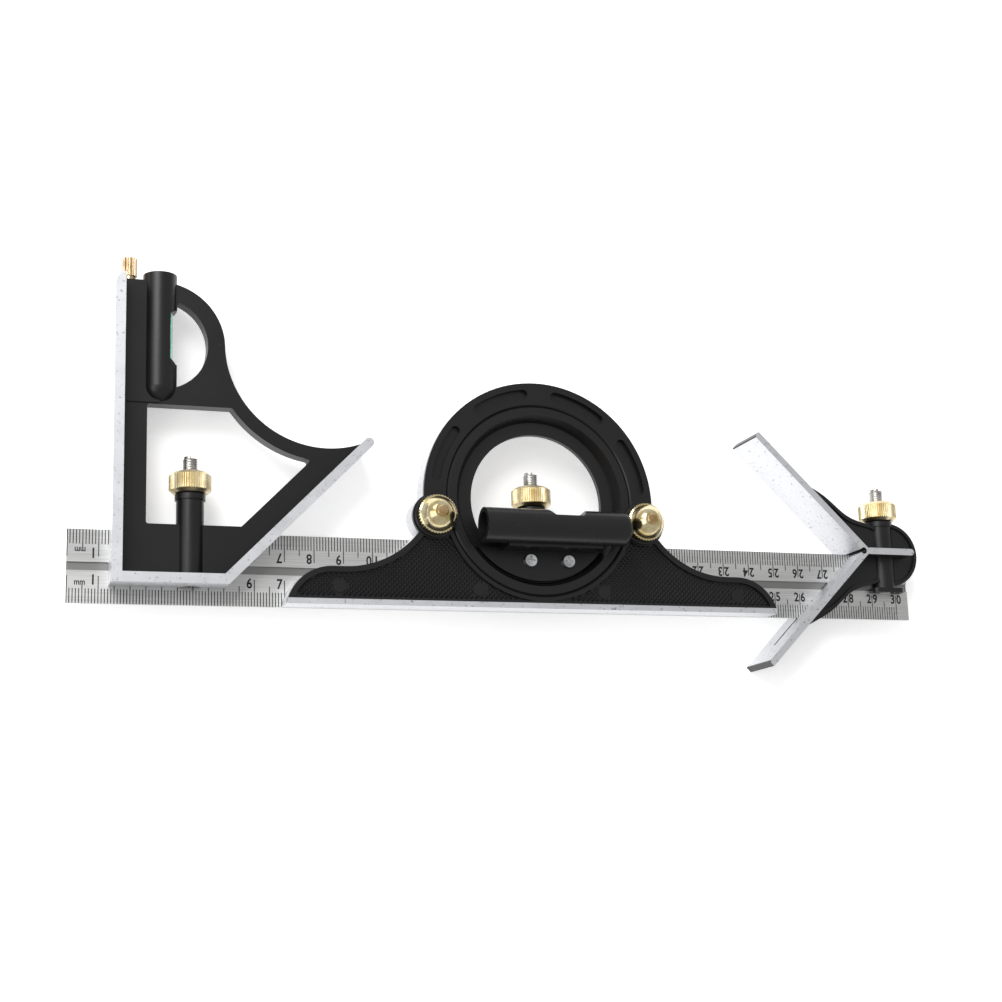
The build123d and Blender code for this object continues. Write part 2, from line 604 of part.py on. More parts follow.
def save_clamp(side, prefix):
    """Bolt from behind, washer and domed knurled nut on one side."""
    x = TURRET_X + side * CLAMP_REACH
    with BuildPart() as bolt:
        with BuildSketch(Plane.XY.offset(head_top - clamp_head_height)):
            with Locations((x, clamp_y)):
                Circle(clamp_head_radius)
        extrude(amount=clamp_head_height)
        with BuildSketch(Plane.XY.offset(head_top)):
            with Locations((x, clamp_y)):
                Circle(clamp_radius)
        extrude(amount=clamp_end - head_top)
        chamfer(bolt.faces().sort_by(Axis.Z)[-1].edges(), 0.4)
    save(bolt.part, prefix + "_clamp_bolt")
    with BuildPart() as washer:
        with BuildSketch(Plane.XY.offset(washer_foot)):
            with Locations((x, clamp_y)):
                Circle(lug_radius - 0.5)
                Circle(clamp_radius + SLIP, mode=Mode.SUBTRACT)
        extrude(amount=washer_height)
        chamfer(washer.faces().sort_by(Axis.Z)[-1].edges().sort_by(SortBy.RADIUS)[-1], 0.4)
    save(washer.part, prefix + "_clamp_washer")
    with BuildPart() as nut:
        with BuildSketch(Plane.XY.offset(dome_foot)):
            with Locations((x, clamp_y)):
                Circle(DOME_RADIUS)
                with PolarLocations(DOME_RADIUS + 0.1, 40):
                    Rectangle(0.6, 0.6, rotation=45, mode=Mode.SUBTRACT)
        extrude(amount=dome_straight + dome_rise)
        with BuildSketch(Plane.XZ.offset(-clamp_y)):
            with BuildLine():
                Line((x, dome_foot), (x + DOME_RADIUS - 0.5, dome_foot))
                Line((x + DOME_RADIUS - 0.5, dome_foot), (x + DOME_RADIUS, dome_foot + 0.6))
                Line((x + DOME_RADIUS, dome_foot + 0.6), (x + DOME_RADIUS, dome_foot + 2.4))
                Line((x + DOME_RADIUS, dome_foot + 2.4), (x + DOME_RADIUS - 0.6, dome_foot + 2.8))
                ThreePointArc(
                    (x + DOME_RADIUS - 0.6, dome_foot + 2.8),
                    (x + DOME_RADIUS - 2.2, dome_foot + dome_straight + dome_rise - 1.6),
                    (x + 2.6, dome_foot + dome_straight + dome_rise))
                Line((x + 2.6, dome_foot + dome_straight + dome_rise),
                     (x, dome_foot + dome_straight + dome_rise))
                Line((x, dome_foot + dome_straight + dome_rise), (x, dome_foot))
            make_face()
        revolve(axis=Axis((x, clamp_y, 0), (0, 0, 1)), mode=Mode.INTERSECT)
        with BuildSketch(Plane.XY):
            with Locations((x, clamp_y)):
                Circle(clamp_radius + SLIP)
        extrude(amount=2 * clamp_end, mode=Mode.SUBTRACT)
    save(nut.part, prefix + "_dome_nut")


save_clamp(-1, "left")
save_clamp(1, "right")

# ---- square head lock -------------------------------------------------------------------
save_lock_bolt(SQUARE_LOCK_X, "square_lock_bolt")
save_lock_spring(SQUARE_LOCK_X, "square_lock_spring")
save_lock_nut(SQUARE_LOCK_X, "square_lock_nut")

# ---- centre head ---------------------------------------------------------------------------
disc_x = VEE_X + 14.3
leg_outer = LEG_WALL * sqrt(2)
corner_x = VEE_X + leg_outer
web_reach = (LEG_LENGTH - 13) / sqrt(2)


def centre_web(inset):
    """Outline of the web, drawn the given distance inside its edge."""
    with BuildSketch() as outline:
        with BuildLine():
            upper = Spline(
                (corner_x - web_reach + 6 * inset, HALF_RULE + web_reach - 6 * inset),
                (corner_x - 14.0 - inset * 0.6, HALF_RULE + 21.0 - inset),
                (corner_x - 5.5 - inset * 0.6, HALF_RULE + 14.2 - inset),
                (CENTRE_LOCK_X - BOSS_RADIUS, HALF_RULE + 10.8 - inset),
                tangents=((1, -1), (1, -0.25)))
            Line(upper @ 1, (CENTRE_LOCK_X, HALF_RULE))
            Line((CENTRE_LOCK_X, HALF_RULE), (corner_x - 1.0, HALF_RULE))
            Line((corner_x - 1.0, HALF_RULE), upper @ 0)
        make_face()
        mirror(about=Plane.XZ.offset(-HALF_RULE))
        with Locations((disc_x, HALF_RULE)):
            Circle(DISC_RADIUS - inset)
    return outline.sketch


with BuildPart() as centre_head:
    # web with a raised border along its edge, the same on both faces
    with BuildSketch(Plane.XY.offset(-WEB_THICKNESS / 2 - BORDER_HEIGHT)):
        add(centre_web(0))
    extrude(amount=WEB_THICKNESS + 2 * BORDER_HEIGHT)
    for pocket_floor in (-WEB_THICKNESS / 2 - 2 * BORDER_HEIGHT, WEB_THICKNESS / 2):
        with BuildSketch(Plane.XY.offset(pocket_floor)):
            add(centre_web(1.2))
        extrude(amount=2 * BORDER_HEIGHT, mode=Mode.SUBTRACT)
    # the two legs of the vee and the stem behind their corner
    with BuildSketch(Plane.XY.offset(-CENTRE_THICKNESS / 2)):
        with Locations(Location((VEE_X, HALF_RULE, 0), (0, 0, 135))):
            with Locations((-LEG_WALL, 0)):
                Rectangle(LEG_LENGTH + LEG_WALL, LEG_WALL, align=(Align.MIN, Align.MAX))
        with Locations(Location((VEE_X, HALF_RULE, 0), (0, 0, 225))):
            with Locations((-LEG_WALL, 0)):
                Rectangle(LEG_LENGTH + LEG_WALL, LEG_WALL, align=(Align.MIN, Align.MIN))
        with Locations((corner_x + 8.2, HALF_RULE)):
            SlotOverall(19.6, LEG_WALL)
    extrude(amount=CENTRE_THICKNESS)
    # relief down the inner corner of the vee
    with Locations((VEE_X + 0.4, HALF_RULE, 0)):
        Cylinder(LEG_WALL / 2, CENTRE_THICKNESS + 1, mode=Mode.SUBTRACT)
    add(lock_boss(CENTRE_LOCK_X, HALF_RULE - 13.5))
    with BuildSketch(upright(CENTRE_LOCK_X, HALF_RULE - 14.3)):
        RectangleRounded(12.6, 2 * BOSS_RADIUS + 1.0, 2.0)
    extrude(amount=1.6)
    add(rule_passage(VEE_X - 60, VEE_X + 60, -HALF_RULE - 10), mode=Mode.SUBTRACT)
    add(lock_bore(CENTRE_LOCK_X, HALF_RULE - 20), mode=Mode.SUBTRACT)
save(centre_head.part, "centre_head")

save_lock_bolt(CENTRE_LOCK_X, "centre_lock_bolt")
save_lock_spring(CENTRE_LOCK_X, "centre_lock_spring")
save_lock_nut(CENTRE_LOCK_X, "centre_lock_nut")
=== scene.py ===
"""Looks of a combination square set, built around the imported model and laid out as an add-on."""
import math

import bmesh
import bpy
from mathutils import Matrix, Vector
from mathutils.bvhtree import BVHTree


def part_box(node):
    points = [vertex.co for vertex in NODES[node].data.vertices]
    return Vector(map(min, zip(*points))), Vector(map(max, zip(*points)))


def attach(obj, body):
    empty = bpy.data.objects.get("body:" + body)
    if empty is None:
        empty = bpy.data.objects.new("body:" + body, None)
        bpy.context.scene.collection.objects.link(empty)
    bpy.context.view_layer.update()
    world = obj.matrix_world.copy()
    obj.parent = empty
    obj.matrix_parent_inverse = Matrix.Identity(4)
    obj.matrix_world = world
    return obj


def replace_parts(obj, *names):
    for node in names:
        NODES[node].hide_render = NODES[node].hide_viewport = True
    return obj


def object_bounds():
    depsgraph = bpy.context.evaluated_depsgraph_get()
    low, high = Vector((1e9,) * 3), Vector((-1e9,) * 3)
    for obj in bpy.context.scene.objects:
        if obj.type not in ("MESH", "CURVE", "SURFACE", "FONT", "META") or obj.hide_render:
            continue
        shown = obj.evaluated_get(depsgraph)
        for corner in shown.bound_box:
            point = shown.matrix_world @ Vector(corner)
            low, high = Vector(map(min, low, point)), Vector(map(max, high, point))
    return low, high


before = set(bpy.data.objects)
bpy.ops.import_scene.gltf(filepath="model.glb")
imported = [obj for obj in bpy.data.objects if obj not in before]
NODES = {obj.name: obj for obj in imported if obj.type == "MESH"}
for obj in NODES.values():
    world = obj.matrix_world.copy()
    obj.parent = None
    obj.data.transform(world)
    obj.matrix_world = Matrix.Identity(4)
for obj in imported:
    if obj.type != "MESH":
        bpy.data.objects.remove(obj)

CAD_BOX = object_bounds()
MM = 0.001

bl_info = {
    "name": "Combination Square Set",
    "version": (1, 0, 0),
    "blender": (4, 5, 0),
    "location": "3D View > Sidebar > Square Set",
    "description": "Finishes and fine pieces of a combination square set around its fixed frame",
    "category": "Object",
}

RULE_LOW, RULE_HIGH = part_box("rule")
SQUARE_LOW, SQUARE_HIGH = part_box("square_head")
FRAME_LOW, FRAME_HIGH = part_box("protractor_frame")
TURRET_LOW, TURRET_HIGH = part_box("protractor_turret")
CENTRE_LOW, CENTRE_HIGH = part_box("centre_head")
HEADS = ("square", "protractor", "centre")
SIDES = ("left", "right")
NARROWING = 0.84                # figures are this much narrower than the plain face
SQUARE_FOOT_LENGTH = 37.2 * MM  # from the upright to where the mitre starts
VEE_SETBACK = 22.3 * MM         # from the rule's far end back to the vee's inner corner
RING_RADIUS = 41.7 * MM         # outside of the protractor's ring
DEGREE_RADIUS = 31.2 * MM       # outer ends of the degree marks
FIELD_DEPTH = 1.0 * MM          # sunk field of the protractor below its border
MARK_HEIGHT = 0.006 * MM        # how far figures stand on each side of their face
MARK_SINK = 0.004 * MM          # how far scale marks stand on each side of theirs
CAMERA_SEAT = Vector((-48.0, -104.5, 556.9)) * MM
CAMERA_TARGET = Vector((146.5, 27.0, 0.0)) * MM
CAMERA_ROLL = math.radians(-1.93)
CAMERA_LENS = 62.58             # in millimetres, on a 36 mm sensor


# ---- small helpers ---------------------------------------------------------------

def linear(code):
    """An sRGB hex colour as linear red, green, blue and alpha."""
    parts = [int(code[i:i + 2], 16) / 255 for i in (1, 3, 5)]
    return tuple(c / 12.92 if c <= 0.04045 else ((c + 0.055) / 1.055) ** 2.4 for c in parts) + (1,)


def put(tree, kind, inputs=None, **properties):
    """Add one shader node, set its properties, and fill or link its inputs."""
    made = tree.nodes.new("ShaderNode" + kind)
    for name, value in properties.items():
        setattr(made, name, value)
    for key, value in (inputs or {}).items():
        if isinstance(value, bpy.types.NodeSocket):
            tree.links.new(value, made.inputs[key])
        else:
            made.inputs[key].default_value = value
    return made


def new_finish(name, **sockets):
    """A material with one Principled shader. Returns it, its tree, its shader and the place."""
    material = bpy.data.materials.new(name)
    material.use_nodes = True
    tree = material.node_tree
    tree.nodes.clear()
    shader = put(tree, "BsdfPrincipled", {k.replace("_", " "): v for k, v in sockets.items()})
    put(tree, "OutputMaterial", {"Surface": shader.outputs["BSDF"]})
    place = put(tree, "TexCoord").outputs["Object"]
    return material, tree, shader, place


def wear(material, *names):
    """Give CAD nodes this material in every slot."""
    for name in names:
        for held in NODES[name].material_slots:
            held.material = material


def finished_piece(name, bm, material, body, smooth_angle=None):
    """Turn a bmesh into a piece at the origin that rides on a body."""
    mesh = bpy.data.meshes.new(name)
    bm.to_mesh(mesh)
    bm.free()
    mesh.materials.append(material)
    if smooth_angle is not None:
        mesh.shade_smooth()
        mesh.set_sharp_from_angle(angle=math.radians(smooth_angle))
    piece = bpy.data.objects.new(name, mesh)
    bpy.context.scene.collection.objects.link(piece)
    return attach(piece, body)


def add_bar(bm, low, high):
    """Add a closed bar between two corners."""
    middle = (low + high) / 2
    size = high - low
    bmesh.ops.create_cube(bm, size=1, matrix=Matrix.Translation(middle) @ Matrix.Diagonal(size).to_4x4())


def lettering(words, height, place, turn, flip=False):
    """A mesh of flat figures, centred on a place, turned about Z and flipped for a back face."""
    curve = bpy.data.curves.new("figures", "FONT")
    curve.body = words
    curve.align_x = "CENTER"
    curve.align_y = "CENTER"
    curve.size = height / 0.70
    curve.extrude = MARK_HEIGHT
    curve.offset = 0.036 * height
    curve.resolution_u = 3
    holder = bpy.data.objects.new("figures", curve)
    bpy.context.scene.collection.objects.link(holder)
    graph = bpy.context.evaluated_depsgraph_get()
    mesh = bpy.data.meshes.new_from_object(holder.evaluated_get(graph))
    bpy.data.objects.remove(holder)
    matrix = Matrix.Translation(place) @ Matrix.Rotation(turn, 4, "Z")
    if flip:
        matrix = matrix @ Matrix.Rotation(math.pi, 4, "Y")
    matrix = matrix @ Matrix.Diagonal((NARROWING, 1, 1, 1))
    mesh.transform(matrix)
    return mesh


def take_in(bm, mesh):
    """Add a mesh to a bmesh and drop the mesh."""
    bm.from_mesh(mesh)
    bpy.data.meshes.remove(mesh)


def settings():
    """The sizes and colours set on the scene."""
    return bpy.context.scene.square_set


# ---- finishes ----------------------------------------------------------------------

def enamelled_casting(name, machined=None, gloss=0.30):
    """Die casting under stove enamel: charcoal black with a soft sheen and faint orange peel.

    Where machined gives a mask, the enamel was milled away and the pale metal shows."""
    given = settings()
    material, tree, shader, place = new_finish(name, Specular_IOR_Level=0.40)
    peel = put(tree, "TexNoise", {"Vector": place, "Scale": 1 / (0.9 * MM), "Detail": 3.0})
    cloud = put(tree, "TexNoise", {"Vector": place, "Scale": 1 / (22 * MM), "Detail": 2.0})
    scratch_place = put(tree, "Mapping", {"Vector": place, "Rotation": (0, 0, 0.7),
                                          "Scale": (1 / (4 * MM), 1 / (0.5 * MM), 1 / (3 * MM))})
    scratch = put(tree, "TexNoise", {"Vector": scratch_place.outputs[0], "Scale": 1.0, "Detail": 1.0})
    scuffs = put(tree, "ValToRGB", {"Fac": scratch.outputs["Fac"]})
    scuffs.color_ramp.elements[0].position = 0.75
    scuffs.color_ramp.elements[1].position = 0.84
    scuffs.color_ramp.elements[1].color = (0.10, 0.10, 0.10, 1)
    # sockets 0, 6 and 7 of a colour mix are its share and its two colours, output 2 the result
    enamel = put(tree, "Mix", {0: cloud.outputs["Fac"], 6: linear(given.enamel_dark),
                               7: linear(given.enamel_light)}, data_type="RGBA")
    tint = put(tree, "Mix", {0: scuffs.outputs["Color"], 6: enamel.outputs[2],
                             7: linear("#8C8C8E")}, data_type="RGBA")
    sheen = put(tree, "MapRange", {"Value": cloud.outputs["Fac"], "To Min": gloss,
                                   "To Max": gloss + 0.08})
    colour = tint.outputs[2]
    rough = sheen.outputs[0]
    height = peel.outputs["Fac"]
    if machined:
        split = put(tree, "SeparateXYZ", {"Vector": place})
        ragged = put(tree, "TexNoise", {"Vector": place, "Scale": 1 / (1.6 * MM), "Detail": 4.0})
        shift = put(tree, "MapRange", {"Value": ragged.outputs["Fac"], "To Min": -0.12 * MM,
                                       "To Max": 0.12 * MM})
        mask = machined(tree, split.outputs, shift.outputs[0])
        grain_place = put(tree, "Mapping", {"Vector": place, "Scale": (1 / (5 * MM), 1 / (5 * MM),
                                                                      1 / (0.25 * MM))})
        grain = put(tree, "TexNoise", {"Vector": grain_place.outputs[0], "Scale": 1.0, "Detail": 3.0})
        pits = put(tree, "TexNoise", {"Vector": place, "Scale": 1 / (1.1 * MM), "Detail": 5.0})
        pitted = put(tree, "ValToRGB", {"Fac": pits.outputs["Fac"]})
        pitted.color_ramp.elements[0].position = 0.24
        pitted.color_ramp.elements[0].color = linear("#8E8F92")
        pitted.color_ramp.elements[1].position = 0.40
        pitted.color_ramp.elements[1].color = linear(given.milled_metal)
        bright = put(tree, "Mix", {0: mask, 6: colour, 7: pitted.outputs["Color"]}, data_type="RGBA")
        colour = bright.outputs[2]
        milled_rough = put(tree, "MapRange", {"Value": grain.outputs["Fac"], "To Min": 0.34, "To Max": 0.56})
        rough = put(tree, "Mix", {0: mask, 2: rough, 3: milled_rough.outputs[0]}).outputs[0]
        height = put(tree, "Mix", {0: mask, 2: height, 3: grain.outputs["Fac"]}).outputs[0]
        tree.links.new(mask, shader.inputs["Metallic"])
    bump = put(tree, "Bump", {"Height": height, "Strength": 0.22, "Distance": 0.06 * MM})
    tree.links.new(colour, shader.inputs["Base Color"])
    tree.links.new(rough, shader.inputs["Roughness"])
    tree.links.new(bump.outputs["Normal"], shader.inputs["Normal"])
    return material


def square_faces(tree, xyz, shift):
    """Milled parts of the square head: upright, foot, mitre and the rims' front and back."""
    x = put(tree, "Math", {0: xyz[0], 1: shift}, operation="ADD").outputs[0]
    y = put(tree, "Math", {0: xyz[1], 1: shift}, operation="ADD").outputs[0]
    upright = put(tree, "Math", {0: x, 1: SQUARE_LOW.x + 0.25 * MM}, operation="LESS_THAN")
    foot = put(tree, "Math", {0: y, 1: SQUARE_LOW.y + 0.25 * MM}, operation="LESS_THAN")
    across = put(tree, "Math", {0: x, 1: xyz[1]}, operation="SUBTRACT")
    heel = SQUARE_LOW.x + SQUARE_FOOT_LENGTH
    mitre = put(tree, "Math", {0: across.outputs[0], 1: heel - SQUARE_LOW.y - 0.3 * MM},
                operation="GREATER_THAN")
    height = put(tree, "Math", {0: xyz[2]}, operation="ABSOLUTE")
    rims = put(tree, "Math", {0: height.outputs[0], 1: SQUARE_HIGH.z - 0.12 * MM},
               operation="GREATER_THAN")
    mask = upright
    for more in (foot, mitre, rims):
        mask = put(tree, "Math", {0: mask.outputs[0], 1: more.outputs[0]}, operation="MAXIMUM")
    return mask.outputs[0]


def base_faces(tree, xyz, shift):
    """Milled parts of the protractor frame: the base and the strip along its front."""
    y = put(tree, "Math", {0: xyz[1], 1: shift}, operation="ADD").outputs[0]
    base = put(tree, "Math", {0: y, 1: FRAME_LOW.y + 0.25 * MM}, operation="LESS_THAN")
    strip = put(tree, "Math", {0: xyz[1], 1: FRAME_LOW.y + 1.9 * MM}, operation="LESS_THAN")
    front = put(tree, "Math", {0: xyz[2], 1: FRAME_HIGH.z - 0.1 * MM}, operation="GREATER_THAN")
    strip_front = put(tree, "Math", {0: strip.outputs[0], 1: front.outputs[0]}, operation="MULTIPLY")
    # the trimmed flash line round the casting's outside
    middle = ((FRAME_LOW + FRAME_HIGH) / 2).to_2d()
    ring_y = (TURRET_LOW.y + TURRET_HIGH.y) / 2
    off = put(tree, "CombineXYZ", {0: xyz[0], 1: xyz[1]})
    gap = put(tree, "VectorMath", {0: off.outputs[0], 1: (middle.x, ring_y, 0)}, operation="DISTANCE")
    ring_radius = FRAME_HIGH.y - ring_y
    outside = put(tree, "Math", {0: gap.outputs["Value"], 1: ring_radius - 0.4 * MM},
                  operation="GREATER_THAN")
    below = put(tree, "Math", {0: xyz[2], 1: FRAME_HIGH.z - 1.3 * MM}, operation="LESS_THAN")
    above = put(tree, "Math", {0: xyz[2], 1: FRAME_LOW.z + 0.1 * MM}, operation="GREATER_THAN")
    wall = put(tree, "Math", {0: below.outputs[0], 1: above.outputs[0]}, operation="MULTIPLY")
    wall = put(tree, "Math", {0: wall.outputs[0], 1: outside.outputs[0]}, operation="MULTIPLY")
    bare = put(tree, "Math", {0: base.outputs[0], 1: strip_front.outputs[0]}, operation="MAXIMUM")
    return put(tree, "Math", {0: bare.outputs[0], 1: wall.outputs[0]}, operation="MAXIMUM").outputs[0]


def vee_faces(tree, xyz, shift):
    """Milled parts of the centre head: inner faces of the vee, and the legs' and stem's edges."""
    vee_x = RULE_HIGH.x - VEE_SETBACK
    rise = put(tree, "Math", {0: xyz[1], 1: RULE_HIGH.y}, operation="SUBTRACT")
    rise = put(tree, "Math", {0: rise.outputs[0]}, operation="ABSOLUTE")
    along = put(tree, "Math", {0: xyz[0], 1: rise.outputs[0]}, operation="ADD")
    along = put(tree, "Math", {0: along.outputs[0], 1: shift}, operation="ADD")
    inner = put(tree, "Math", {0: along.outputs[0], 1: vee_x + 0.3 * MM}, operation="LESS_THAN")
    height = put(tree, "Math", {0: xyz[2]}, operation="ABSOLUTE")
    edges = put(tree, "Math", {0: height.outputs[0], 1: CENTRE_HIGH.z - 0.1 * MM},
                operation="GREATER_THAN")
    mask = put(tree, "Math", {0: inner.outputs[0], 1: edges.outputs[0]}, operation="MAXIMUM")
    # the sawn ends of the legs stay dark
    not_end = put(tree, "Math", {0: xyz[0], 1: CENTRE_LOW.x + 0.4 * MM}, operation="GREATER_THAN")
    return put(tree, "Math", {0: mask.outputs[0], 1: not_end.outputs[0]}, operation="MULTIPLY").outputs[0]


def ground_steel(name):
    """Stainless rule stock, ground lengthwise: satin grey with long fine streaks."""
    material, tree, shader, place = new_finish(name, Metallic=1.0, Anisotropic=0.3)
    streak_place = put(tree, "Mapping", {"Vector": place, "Scale": (1 / (16 * MM), 1 / (0.22 * MM),
                                                                   1 / (0.22 * MM))})
    streaks = put(tree, "TexNoise", {"Vector": streak_place.outputs[0], "Scale": 1.0, "Detail": 4.0})
    cloud = put(tree, "TexNoise", {"Vector": place, "Scale": 1 / (30 * MM), "Detail": 3.0})
    tone = put(tree, "ValToRGB", {"Fac": streaks.outputs["Fac"]})
    tone.color_ramp.elements[0].position = 0.3
    tone.color_ramp.elements[0].color = linear(settings().steel_dark)
    tone.color_ramp.elements[1].position = 0.7
    tone.color_ramp.elements[1].color = linear(settings().steel_light)
    rough = put(tree, "MapRange", {"Value": cloud.outputs["Fac"], "To Min": 0.38, "To Max": 0.5})
    bump = put(tree, "Bump", {"Height": streaks.outputs["Fac"], "Strength": 0.12,
                              "Distance": 0.02 * MM})
    # the groove's milled floor and sides are painted much darker than the ground face: painted shade in the
    # recess
    split = put(tree, "SeparateXYZ", {"Vector": place})
    across = put(tree, "Math", {0: split.outputs["Y"]}, operation="ABSOLUTE")
    inner = put(tree, "Math", {0: across.outputs[0], 1: RULE_HIGH.y / 4}, operation="LESS_THAN")
    sunk = put(tree, "Math", {0: split.outputs["Z"], 1: RULE_HIGH.z - 0.02 * MM}, operation="LESS_THAN")
    front = put(tree, "Math", {0: split.outputs["Z"], 1: 0.0}, operation="GREATER_THAN")
    groove = put(tree, "Math", {0: inner.outputs[0], 1: sunk.outputs[0]}, operation="MULTIPLY")
    groove = put(tree, "Math", {0: groove.outputs[0], 1: front.outputs[0]}, operation="MULTIPLY")
    steel = put(tree, "Mix", {0: groove.outputs[0], 6: tone.outputs["Color"],
                              7: linear(settings().groove_steel)}, data_type="RGBA")
    tree.links.new(steel.outputs[2], shader.inputs["Base Color"])
    tree.links.new(rough.outputs[0], shader.inputs["Roughness"])
    tree.links.new(bump.outputs["Normal"], shader.inputs["Normal"])
    return material


def etch_filler(name, dark="#141416", light="#262628"):
    """Wax filler in etched marks: matt, very slightly uneven."""
    material, tree, shader, place = new_finish(name, Specular_IOR_Level=0.3)
    uneven = put(tree, "TexNoise", {"Vector": place, "Scale": 1 / (0.8 * MM), "Detail": 2.0})
    tone = put(tree, "ValToRGB", {"Fac": uneven.outputs["Fac"]})
    tone.color_ramp.elements[0].color = linear(dark)
    tone.color_ramp.elements[1].color = linear(light)
    rough = put(tree, "MapRange", {"Value": uneven.outputs["Fac"], "To Min": 0.55, "To Max": 0.75})
    tree.links.new(tone.outputs["Color"], shader.inputs["Base Color"])
    tree.links.new(rough.outputs[0], shader.inputs["Roughness"])
    return material


def turned_metal(name, light, dark, rough_low, rough_high, ring_axis=None):
    """Turned bright metal: a clean lustre, faint tool rings and slightly duller patches."""
    material, tree, shader, place = new_finish(name, Metallic=1.0)
    patches = put(tree, "TexNoise", {"Vector": place, "Scale": 1 / (4 * MM), "Detail": 4.0})
    tone = put(tree, "ValToRGB", {"Fac": patches.outputs["Fac"]})
    tone.color_ramp.elements[0].position = 0.3
    tone.color_ramp.elements[0].color = linear(dark)
    tone.color_ramp.elements[1].position = 0.62
    tone.color_ramp.elements[1].color = linear(light)
    rough = put(tree, "MapRange", {"Value": patches.outputs["Fac"], "To Min": rough_high,
                                   "To Max": rough_low})
    height = patches.outputs["Fac"]
    if ring_axis:
        rings = put(tree, "TexWave", {"Vector": place, "Scale": 1 / (6.3 * 0.3 * MM),
                                      "Distortion": 0.4}, bands_direction=ring_axis)
        height = rings.outputs["Fac"]
    bump = put(tree, "Bump", {"Height": height, "Strength": 0.10, "Distance": 0.02 * MM})
    tree.links.new(tone.outputs["Color"], shader.inputs["Base Color"])
    tree.links.new(rough.outputs[0], shader.inputs["Roughness"])
    tree.links.new(bump.outputs["Normal"], shader.inputs["Normal"])
    return material


def clear_acrylic(name):
    """Cast acrylic tube: glossy, with a faint green cast and slight moulding ripple."""
    material, tree, shader, place = new_finish(
        name, Base_Color=linear("#8CCBB0"), Roughness=0.03, IOR=1.49, Transmission_Weight=1.0)
    ripple = put(tree, "TexNoise", {"Vector": place, "Scale": 1 / (5 * MM)})
    bump = put(tree, "Bump", {"Height": ripple.outputs["Fac"], "Strength": 0.05,
                              "Distance": 0.05 * MM})
    tree.links.new(bump.outputs["Normal"], shader.inputs["Normal"])
    return material


def vial_spirit(name):
    """Dyed spirit in the vials: clear deep green."""
    material, tree, shader, place = new_finish(
        name, Roughness=0.05, IOR=1.36, Transmission_Weight=0.45)
    depth = put(tree, "TexNoise", {"Vector": place, "Scale": 1 / (8 * MM)})
    tone = put(tree, "ValToRGB", {"Fac": depth.outputs["Fac"]})
    tone.color_ramp.elements[0].color = linear("#1C7A55")
    tone.color_ramp.elements[1].color = linear("#3C9C74")
    tree.links.new(tone.outputs["Color"], shader.inputs["Base Color"])
    return material


# ---- pieces --------------------------------------------------------------------------

def scale_marks(bm, back):
    """Tick marks along both long edges of one face of the rule."""
    given = settings()
    half = given.line_width / 2
    lengths = {0: given.long_tick, 5: given.middle_tick}
    face = RULE_LOW.z if back else RULE_HIGH.z
    for millimetre in range(0, 301):
        long = lengths.get(millimetre % 10, given.short_tick)
        x = RULE_LOW.x + millimetre * MM
        if millimetre == 0:
            x = x + half
        for edge, inward in ((RULE_LOW.y, 1), (RULE_HIGH.y, -1)):
            ends = sorted((edge + inward * 0.05 * MM, edge + inward * long))
            add_bar(bm, Vector((x - half, ends[0], face - MARK_SINK)),
                    Vector((x + half, ends[1], face + MARK_SINK)))


def scale_figures(bm, back):
    """Centimetre figures of one face, upright at the lower edge and upside down at the upper."""
    given = settings()
    face = RULE_LOW.z if back else RULE_HIGH.z
    rise = given.figure_rise + given.figure_height / 2
    for edge, inward, turn in ((RULE_LOW.y, 1, 0.0), (RULE_HIGH.y, -1, math.pi)):
        y = edge + inward * rise
        for centimetre in range(1, 31):
            words = str(centimetre)
            x = RULE_LOW.x + centimetre * 10 * MM
            if back:
                x = RULE_HIGH.x + RULE_LOW.x - x
            if len(words) == 1:
                x = x - 0.52 * given.figure_height
                take_in(bm, lettering(words, given.figure_height, Vector((x, y, face)), turn, back))
                continue
            for index, digit in enumerate(words):
                side = -1 if (index == 0) != (turn > 0) else 1
                if back:
                    side = -side
                here = Vector((x + side * 0.40 * given.figure_height, y, face))
                take_in(bm, lettering(digit, given.figure_height, here, turn, back))
        x = RULE_LOW.x + 4.2 * MM
        if back:
            x = RULE_HIGH.x + RULE_LOW.x - x
        here = Vector((x, edge + inward * (given.figure_rise + 0.9 * MM), face))
        take_in(bm, lettering("mm", 0.6 * given.figure_height, here, turn, back))


